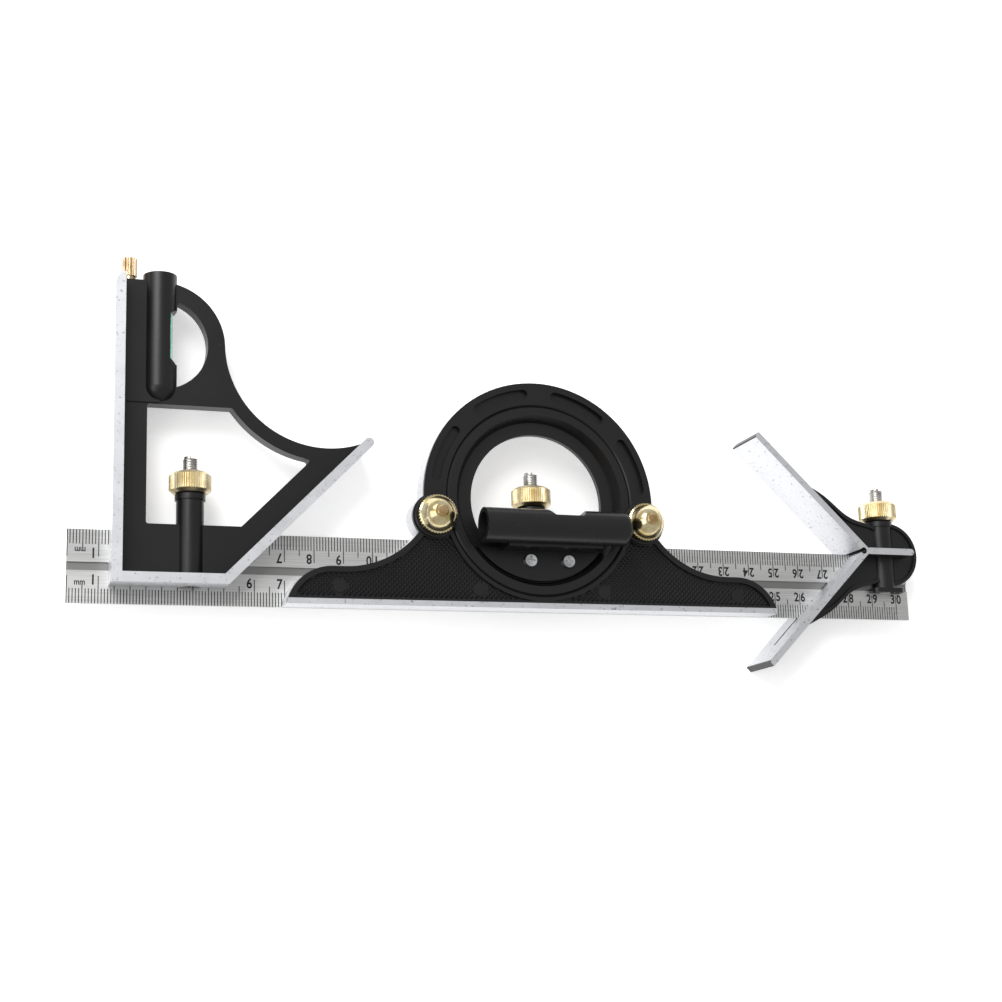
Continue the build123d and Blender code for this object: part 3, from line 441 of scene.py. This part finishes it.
def threaded_stud(name, node, body, material):
    """Stud with a real thread, half its top stepped down, on the plain stud's own lower end."""
    given = settings()
    low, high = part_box(node)
    x = (low.x + high.x) / 2
    crest = given.stud_radius
    root = crest - 0.54 * given.stud_pitch
    step = 0.7 * MM
    wide = [v.co.y for v in NODES[node].data.vertices
            if math.hypot(v.co.x - x, v.co.z) > 1.2 * crest]
    collar_top = max(wide)
    bm = bmesh.new()
    turns = int((high.y - collar_top) / given.stud_pitch) + 2
    chain = []
    for count in range(turns + 1):
        foot = collar_top - given.stud_pitch + count * given.stud_pitch
        for share, radius in ((0.0, root), (0.44, crest), (0.56, crest), (1.0, root)):
            if share == 1.0 and count < turns:
                continue
            chain.append(bm.verts.new((x + radius, foot + share * given.stud_pitch, 0)))
    edges = [bm.edges.new(pair) for pair in zip(chain, chain[1:])]
    steps = 32
    bmesh.ops.spin(bm, geom=chain + edges, cent=(x, 0, 0), axis=(0, 1, 0),
                   dvec=(0, given.stud_pitch / steps, 0), angle=2 * math.pi, steps=steps,
                   use_merge=False, use_duplicate=False)
    bmesh.ops.remove_doubles(bm, verts=bm.verts, dist=1e-6)
    for plane_y, up in ((high.y - step, 1), (collar_top - 0.1 * MM, -1)):
        cut = bmesh.ops.bisect_plane(
            bm, geom=bm.verts[:] + bm.edges[:] + bm.faces[:], plane_co=(x, plane_y, 0),
            plane_no=(0, up, 0), clear_outer=True)
        rim = [e for e in cut["geom_cut"] if isinstance(e, bmesh.types.BMEdge)]
        bmesh.ops.holes_fill(bm, edges=rim)
    lie = Matrix.Rotation(-math.pi / 2, 4, "X")
    top = bmesh.ops.create_circle(
        bm, cap_ends=True, segments=32, radius=root + 0.05 * MM,
        matrix=Matrix.Translation((x, high.y - step - 0.05 * MM, 0)) @ lie)
    half = list({f for v in top["verts"] for f in v.link_faces})
    kept = bmesh.ops.bisect_plane(
        bm, geom=top["verts"] + list({e for v in top["verts"] for e in v.link_edges}) + half,
        plane_co=(x, 0, 0), plane_no=(1, 0, 0), clear_outer=True)
    face = [f for f in kept["geom"] if isinstance(f, bmesh.types.BMFace)]
    raised = bmesh.ops.extrude_face_region(bm, geom=face, use_keep_orig=True)
    bmesh.ops.translate(bm, verts=[v for v in raised["geom"] if isinstance(v, bmesh.types.BMVert)],
                        vec=(0, step + 0.05 * MM, 0))
    # the collar, the flat shank and its lip, cut off just under the collar's top
    plain = bmesh.new()
    plain.from_mesh(NODES[node].data)
    bmesh.ops.remove_doubles(plain, verts=plain.verts, dist=0.001 * MM)
    cut = bmesh.ops.bisect_plane(
        plain, geom=plain.verts[:] + plain.edges[:] + plain.faces[:],
        plane_co=(x, collar_top - 0.05 * MM, 0), plane_no=(0, 1, 0), clear_outer=True)
    rim = [e for e in cut["geom_cut"] if isinstance(e, bmesh.types.BMEdge)]
    bmesh.ops.holes_fill(plain, edges=rim)
    lower = bpy.data.meshes.new(name)
    plain.to_mesh(lower)
    plain.free()
    take_in(bm, lower)
    bmesh.ops.recalc_face_normals(bm, faces=bm.faces)
    piece = finished_piece(name, bm, material, body, smooth_angle=35)
    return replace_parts(piece, node)


def shape_tree(node):
    """Search tree of a CAD node's surface."""
    shape = NODES[node].data
    return BVHTree.FromPolygons([v.co for v in shape.vertices], [p.vertices for p in shape.polygons])


def lozenge_field(material):
    """Low lozenges over the sunk field of the protractor frame, run out into its borders."""
    given = settings()
    field_z = FRAME_HIGH.z - FIELD_DEPTH
    tree = shape_tree("protractor_frame")
    down = Vector((0, 0, -1))
    half_x = given.lozenge_pitch / 2
    half_y = given.lozenge_pitch * 0.51
    marks = ejector_marks()

    def on_field(x, y):
        for dx, dy in ((half_x, 0), (-half_x, 0), (0, half_y), (0, -half_y)):
            hit = tree.ray_cast(Vector((x + 0.4 * dx, y + 0.4 * dy, FRAME_HIGH.z + 5 * MM)), down)
            if hit[0] is None or abs(hit[0].z - field_z) > 0.05 * MM:
                return False
        return all((Vector((x, y)) - m).length > given.ejector_radius + 0.4 * half_x for m in marks)

    bm = bmesh.new()
    rows = int((FRAME_HIGH.y - FRAME_LOW.y) / half_y)
    columns = int((FRAME_HIGH.x - FRAME_LOW.x) / (2 * half_x))
    rise = 0.42 * MM
    for row in range(rows):
        for column in range(columns):
            x = FRAME_LOW.x + (column + (row % 2) / 2) * 2 * half_x
            y = FRAME_LOW.y + row * half_y
            if not on_field(x, y):
                continue
            place = Matrix.Translation((x, y, field_z + rise / 2 - 0.03 * MM))
            bmesh.ops.create_cone(
                bm, cap_ends=True, segments=4, radius1=1, radius2=0.25, depth=1,
                matrix=place @ Matrix.Diagonal((half_x * 0.96, half_y * 0.96, rise, 1)))
    piece = finished_piece("protractor_lozenges", bm, material, "frame_body")
    bm = bmesh.new()
    for mark in marks:
        bmesh.ops.create_cone(
            bm, cap_ends=True, segments=32, radius1=given.ejector_radius,
            radius2=given.ejector_radius - 0.1 * MM, depth=0.24 * MM,
            matrix=Matrix.Translation((mark.x, mark.y, field_z + 0.09 * MM)))
    finished_piece("protractor_ejector_marks", bm, material, "frame_body")
    return piece


def ejector_marks():
    """Places of the four ejector marks, along the field on each side of the turret."""
    middle = (FRAME_LOW.x + FRAME_HIGH.x) / 2
    y = FRAME_LOW.y + 6.2 * MM
    return [Vector((middle + reach * MM, y)) for reach in (-70.9, -22.9, 22.5, 73.2)]


def degree_scale(material):
    """Half-circle of degree marks and figures on the back of the turret's hub ring."""
    bm = bmesh.new()
    centre = Vector(((TURRET_LOW.x + TURRET_HIGH.x) / 2, FRAME_HIGH.y - RING_RADIUS, 0))
    outer = DEGREE_RADIUS
    below = Vector((centre.x, centre.y + outer - 1.2 * MM, TURRET_LOW.z - 5 * MM))
    face = shape_tree("protractor_turret").ray_cast(below, Vector((0, 0, 1)))[0].z
    for degree in range(0, 181):
        long = {0: 2.4, 5: 1.8}.get(degree % 10, 1.2) * MM
        angle = math.radians(degree)
        turn = Matrix.Translation((centre.x, centre.y, face)) @ Matrix.Rotation(angle, 4, "Z")
        bmesh.ops.create_cube(
            bm, size=1, matrix=turn @ Matrix.Translation((outer - long / 2, 0, 0))
            @ Matrix.Diagonal((long, 0.14 * MM, 0.008 * MM, 1)))
    for degree in range(0, 181, 10):
        angle = math.radians(degree)
        reach = outer - 3.3 * MM
        here = Vector((centre.x + reach * math.cos(angle), centre.y + reach * math.sin(angle), face))
        words = str(min(degree, 180 - degree))
        take_in(bm, lettering(words, 1.35 * MM, here, angle - math.pi / 2, True))
    return finished_piece("turret_degree_scale", bm, material, "turret_body")


# ---- add-on classes ------------------------------------------------------------------

class SquareSetSettings(bpy.types.PropertyGroup):
    """Sizes and colours of the fine pieces and finishes."""

    line_width: bpy.props.FloatProperty(
        name="Line width", description="Width of a scale mark", default=0.30 * MM, unit="LENGTH",
        precision=5)
    short_tick: bpy.props.FloatProperty(
        name="1 mm mark", description="Length of a millimetre mark", default=4.8 * MM, unit="LENGTH",
        precision=5)
    middle_tick: bpy.props.FloatProperty(
        name="5 mm mark", description="Length of a five millimetre mark", default=6.7 * MM,
        unit="LENGTH", precision=5)
    long_tick: bpy.props.FloatProperty(
        name="10 mm mark", description="Length of a centimetre mark", default=8.9 * MM, unit="LENGTH",
        precision=5)
    figure_height: bpy.props.FloatProperty(
        name="Figure height", description="Height of the centimetre figures", default=3.2 * MM,
        unit="LENGTH", precision=5)
    figure_rise: bpy.props.FloatProperty(
        name="Figure rise", description="Edge of the rule to the foot of the figures",
        default=5.9 * MM, unit="LENGTH", precision=5)
    stud_radius: bpy.props.FloatProperty(
        name="Stud radius", description="Radius over the thread of a lock stud", default=2.5 * MM,
        unit="LENGTH", precision=5)
    stud_pitch: bpy.props.FloatProperty(
        name="Stud pitch", description="Pitch of the lock studs' thread", default=0.8 * MM,
        unit="LENGTH", precision=5)
    lozenge_pitch: bpy.props.FloatProperty(
        name="Lozenge pitch", description="Spacing of the cast lozenges", default=1.75 * MM,
        unit="LENGTH", precision=5)
    ejector_radius: bpy.props.FloatProperty(
        name="Ejector mark radius", description="Radius of a smooth ejector mark",
        default=2.3 * MM, unit="LENGTH", precision=5)
    enamel_dark: bpy.props.StringProperty(
        name="Enamel, dark", description="Darker tone of the enamel", default="#0D0D0F")
    enamel_light: bpy.props.StringProperty(
        name="Enamel, light", description="Lighter tone of the enamel", default="#161618")
    milled_metal: bpy.props.StringProperty(
        name="Milled metal", description="Bare milled faces", default="#DEDFE2")
    steel_light: bpy.props.StringProperty(
        name="Rule steel, light", description="Lighter streaks of the rule", default="#DCDCDB")
    steel_dark: bpy.props.StringProperty(
        name="Rule steel, dark", description="Darker streaks of the rule", default="#C0C0BF")
    # painted shade: the darker steel colour painted into the rule's groove
    groove_steel: bpy.props.StringProperty(
        name="Groove steel", description="Floor and sides of the rule's groove", default="#8E8E8D")


class SQUARESET_OT_castings(bpy.types.Operator):
    """Finish the four castings and the turret"""

    bl_idname = "squareset.castings"
    bl_label = "Castings"

    def execute(self, context):
        wear(enamelled_casting("square_head_enamel_and_milled", square_faces), "square_head")
        wear(enamelled_casting("protractor_enamel_and_milled", base_faces, 0.26), "protractor_frame")
        wear(enamelled_casting("centre_head_enamel_and_milled", vee_faces), "centre_head")
        plain = enamelled_casting("satin_stove_enamel")
        wear(plain, "protractor_turret", "vial_bracket", "left_clamp_washer", "right_clamp_washer",
             "square_vial_plug", "protractor_vial_plug")
        lozenge_field(plain)
        degree_scale(etch_filler("degree_scale_white_filler", "#C8C8C6", "#E0E0DE"))
        return {"FINISHED"}


class SQUARESET_OT_rule(bpy.types.Operator):
    """Finish the rule and mark its scales"""

    bl_idname = "squareset.rule"
    bl_label = "Rule"

    def execute(self, context):
        wear(ground_steel("ground_stainless_steel"), "rule")
        filler = etch_filler("etched_mark_filler")
        for back in (False, True):
            word = "back" if back else "front"
            marks = bmesh.new()
            scale_marks(marks, back)
            finished_piece(f"rule_{word}_marks", marks, filler, "rule_body")
            figures = bmesh.new()
            scale_figures(figures, back)
            finished_piece(f"rule_{word}_figures", figures, filler, "rule_body")
        return {"FINISHED"}


class SQUARESET_OT_locks(bpy.types.Operator):
    """Thread the lock studs and finish nuts and springs"""

    bl_idname = "squareset.locks"
    bl_label = "Locks"

    def execute(self, context):
        stud_steel = turned_metal("zinc_plated_stud_steel", "#C9C6C2", "#8F8B87", 0.28, 0.42)
        brass = turned_metal("knurled_nut_brass", "#EFE3BE", "#BFA878", 0.22, 0.36, "Y")
        for head in HEADS:
            threaded_stud(f"{head}_threaded_stud", f"{head}_lock_bolt", f"{head}_bolt_body", stud_steel)
            wear(brass, f"{head}_lock_nut")
            wear(stud_steel, f"{head}_lock_spring")
        return {"FINISHED"}


class SQUARESET_OT_clamps(bpy.types.Operator):
    """Finish the turret clamps and the bracket's screws"""

    bl_idname = "squareset.clamps"
    bl_label = "Turret clamps"

    def execute(self, context):
        dome = turned_metal("polished_dome_brass", "#E7DAB4", "#BCA66C", 0.14, 0.26, "Z")
        bolt = turned_metal("brass_plated_bolt", "#D8BC8E", "#A8895C", 0.25, 0.4)
        bright = turned_metal("nickel_plated_screw", "#DFE0E2", "#9A9C9E", 0.16, 0.28)
        for side in SIDES:
            wear(dome, f"{side}_dome_nut")
            wear(bolt, f"{side}_clamp_bolt")
        wear(bright, "bracket_screws")
        return {"FINISHED"}


class SQUARESET_OT_vials(bpy.types.Operator):
    """Finish the two spirit vials"""

    bl_idname = "squareset.vials"
    bl_label = "Vials"

    def execute(self, context):
        acrylic = clear_acrylic("clear_acrylic")
        spirit = vial_spirit("green_spirit")
        for head in ("square", "protractor"):
            wear(acrylic, f"{head}_vial_glass")
            wear(spirit, f"{head}_vial_liquid")
        return {"FINISHED"}


class SQUARESET_OT_scriber(bpy.types.Operator):
    """Finish the scriber"""

    bl_idname = "squareset.scriber"
    bl_label = "Scriber"

    def execute(self, context):
        wear(turned_metal("scriber_knob_brass", "#D9C4A6", "#A58C6C", 0.2, 0.32, "Y"), "scriber_knob")
        wear(turned_metal("hardened_scriber_steel", "#C4C4C6", "#8E8E92", 0.2, 0.34), "scriber_pin")
        return {"FINISHED"}


def soft_light(name, place, aim, size, power):
    """A large square lamp that looks at a point."""
    lamp = bpy.data.lights.new(name, "AREA")
    lamp.shape = "SQUARE"
    lamp.size = size
    lamp.energy = power
    holder = bpy.data.objects.new(name, lamp)
    holder.location = place
    holder.rotation_euler = (aim - place).to_track_quat("-Z", "Y").to_euler()
    bpy.context.scene.collection.objects.link(holder)


class SQUARESET_OT_stage(bpy.types.Operator):
    """Lay a pale floor, hang the lights and place the camera"""

    bl_idname = "squareset.stage"
    bl_label = "Stage"

    def execute(self, context):
        scene = context.scene
        scene.view_settings.view_transform = "Standard"
        bm = bmesh.new()
        bmesh.ops.create_grid(bm, x_segments=1, y_segments=1, size=6.0,
                              matrix=Matrix.Translation((0.15, 0.03, CAD_BOX[0].z - 0.05 * MM)))
        material, tree, shader, place = new_finish("matt_white_sweep", Roughness=0.9,
                                                   Specular_IOR_Level=0.1)
        paper = put(tree, "TexNoise", {"Vector": place, "Scale": 4.0})
        tone = put(tree, "ValToRGB", {"Fac": paper.outputs["Fac"]})
        tone.color_ramp.elements[0].color = linear("#FAFAFA")
        tone.color_ramp.elements[1].color = linear("#FFFFFF")
        tree.links.new(tone.outputs["Color"], shader.inputs["Base Color"])
        shader.inputs["Emission Color"].default_value = linear("#FFFFFF")
        shader.inputs["Emission Strength"].default_value = 0.42
        mesh = bpy.data.meshes.new("floor")
        bm.to_mesh(mesh)
        bm.free()
        mesh.materials.append(material)
        floor = bpy.data.objects.new("floor", mesh)
        scene.collection.objects.link(floor)
        world = bpy.data.worlds.new("studio")
        world.use_nodes = True
        backing = world.node_tree.nodes["Background"]
        backing.inputs["Color"].default_value = linear("#FFFFFF")
        backing.inputs["Strength"].default_value = 0.55
        scene.world = world
        aim = Vector((0.15, 0.03, 0.0))
        soft_light("back_left", Vector((-0.55, 0.85, 1.1)), aim, 0.9, 17.0)
        soft_light("left_fill", Vector((-1.1, -0.2, 0.9)), aim, 1.0, 6.0)
        camera = bpy.data.cameras.new("camera")
        camera.lens = CAMERA_LENS
        camera.sensor_width = 36.0
        camera.clip_start = 0.01
        camera.clip_end = 20.0
        back = (CAMERA_SEAT - CAMERA_TARGET).normalized()
        side = Vector((0, 1, 0)).cross(back).normalized()
        turn = Matrix((side, back.cross(side), back)).transposed().to_4x4()
        holder = bpy.data.objects.new("camera", camera)
        scene.collection.objects.link(holder)
        holder.matrix_world = (Matrix.Translation(CAMERA_SEAT) @ turn
                               @ Matrix.Rotation(CAMERA_ROLL, 4, "Z"))
        scene.camera = holder
        return {"FINISHED"}


OPERATORS = (
    SQUARESET_OT_castings,
    SQUARESET_OT_rule,
    SQUARESET_OT_locks,
    SQUARESET_OT_clamps,
    SQUARESET_OT_vials,
    SQUARESET_OT_scriber,
    SQUARESET_OT_stage,
)


class SQUARESET_PT_panel(bpy.types.Panel):
    """Lists the pieces in the order they are made"""

    bl_idname = "SQUARESET_PT_panel"
    bl_label = "Square Set"
    bl_space_type = "VIEW_3D"
    bl_region_type = "UI"
    bl_category = "Square Set"

    def draw(self, context):
        for name in SquareSetSettings.__annotations__:
            self.layout.prop(context.scene.square_set, name)
        for operator in OPERATORS:
            self.layout.operator(operator.bl_idname)


CLASSES = (SquareSetSettings, *OPERATORS, SQUARESET_PT_panel)


def register():
    for made in CLASSES:
        bpy.utils.register_class(made)
    bpy.types.Scene.square_set = bpy.props.PointerProperty(type=SquareSetSettings)


def unregister():
    del bpy.types.Scene.square_set
    for made in reversed(CLASSES):
        bpy.utils.unregister_class(made)


def main():
    """Make every piece in order."""
    register()
    bpy.ops.squareset.castings()
    bpy.ops.squareset.rule()
    bpy.ops.squareset.locks()
    bpy.ops.squareset.clamps()
    bpy.ops.squareset.vials()
    bpy.ops.squareset.scriber()
    bpy.ops.squareset.stage()


if __name__ == "__main__":
    main()
